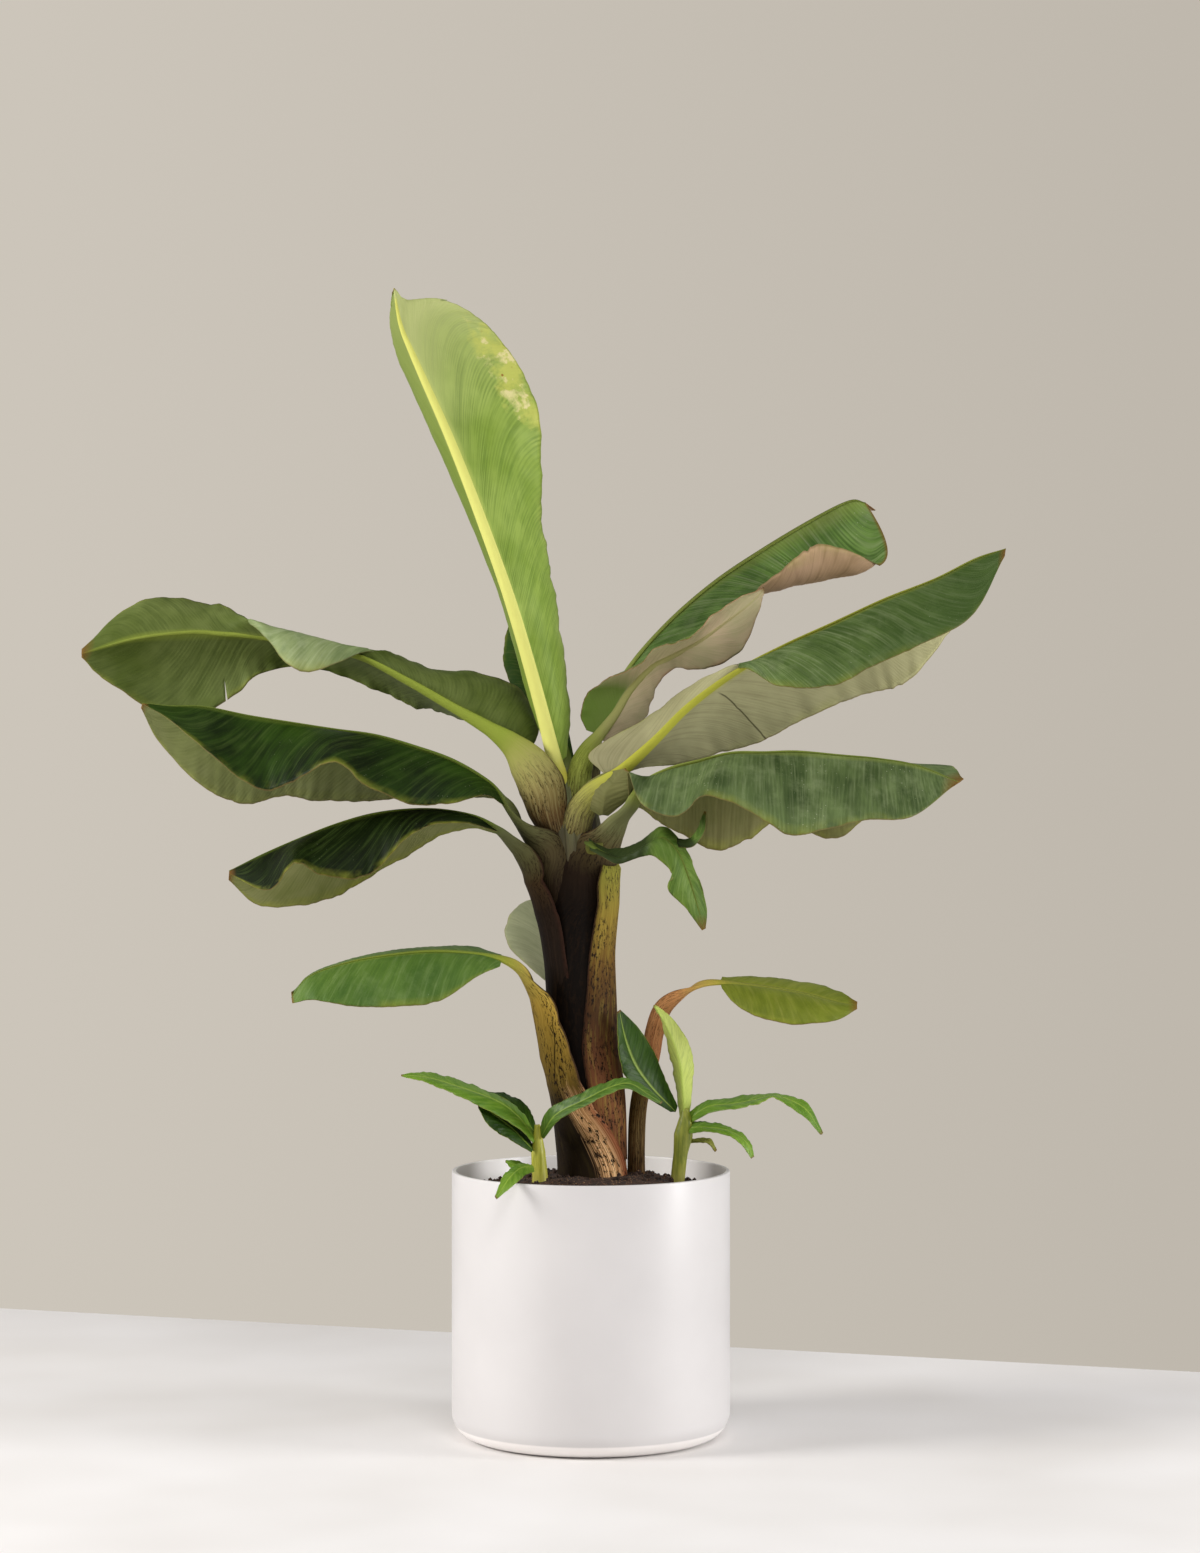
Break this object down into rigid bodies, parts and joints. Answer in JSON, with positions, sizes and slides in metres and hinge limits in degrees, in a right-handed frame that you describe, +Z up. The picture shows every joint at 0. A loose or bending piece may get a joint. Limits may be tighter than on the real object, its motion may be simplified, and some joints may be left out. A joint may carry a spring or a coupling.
{
  "type": "potted banana plant",
  "caption": "Young banana plant with arching leaves and two side shoots in a plain white cylindrical pot with a rounded bottom edge.",
  "frame": {"origin": "centre of the pot's flat underside, on the surface it stands on", "axes": "+Z up along the pot's axis, +X to the right of the viewed side, +Y away from it"},
  "size_m": [1.0155, 0.3264, 1.2553],
  "materials": {
    "pot": "smooth warm white satin glaze",
    "soil": "dark crumbly potting compost",
    "trunk": "dark brown fibrous leaf bases",
    "shoot_stem": "smooth yellow-green stem",
    "light_leaf": "waxy light green, ribbed by fine side veins",
    "dark_leaf": "satin dark green above, grey-green below",
    "dusty_leaf": "matt bluish green above, grey-green below",
    "pale_leaf": "matt grey-green underside with a pale midrib",
    "old_leaf": "dull yellow-green turning brown",
    "shoot_leaf": "glossy young green"
  },
  "bodies": {
    "root": {"pot": "pot", "potting_soil": "soil", "pseudostem": "trunk", "left_pup_stem": "shoot_stem", "right_pup_stem": "shoot_stem", "leaf_top": "light_leaf", "leaf_left_upper": "dark_leaf", "leaf_left_middle": "dark_leaf", "leaf_left_lower": "dark_leaf", "leaf_left_bottom": "dusty_leaf", "leaf_rear": "pale_leaf", "leaf_rear_upper": "dark_leaf", "leaf_right_top": "dusty_leaf", "leaf_right_top_inner": "pale_leaf", "leaf_right_upper": "dusty_leaf", "leaf_right_middle": "dusty_leaf", "leaf_right_curled": "dusty_leaf", "leaf_right_bottom": "old_leaf", "left_pup_long_leaf": "shoot_leaf", "left_pup_upper_leaf": "shoot_leaf", "left_pup_lower_leaf": "shoot_leaf", "left_pup_arching_leaf": "shoot_leaf", "left_pup_rim_leaf": "shoot_leaf", "left_pup_bud_leaf": "shoot_leaf", "right_pup_broad_leaf": "shoot_leaf", "right_pup_spear_leaf": "shoot_leaf", "right_pup_long_leaf": "shoot_leaf", "right_pup_lower_leaf": "shoot_leaf", "right_pup_dry_leaf": "old_leaf"}
  },
  "joints": []
}
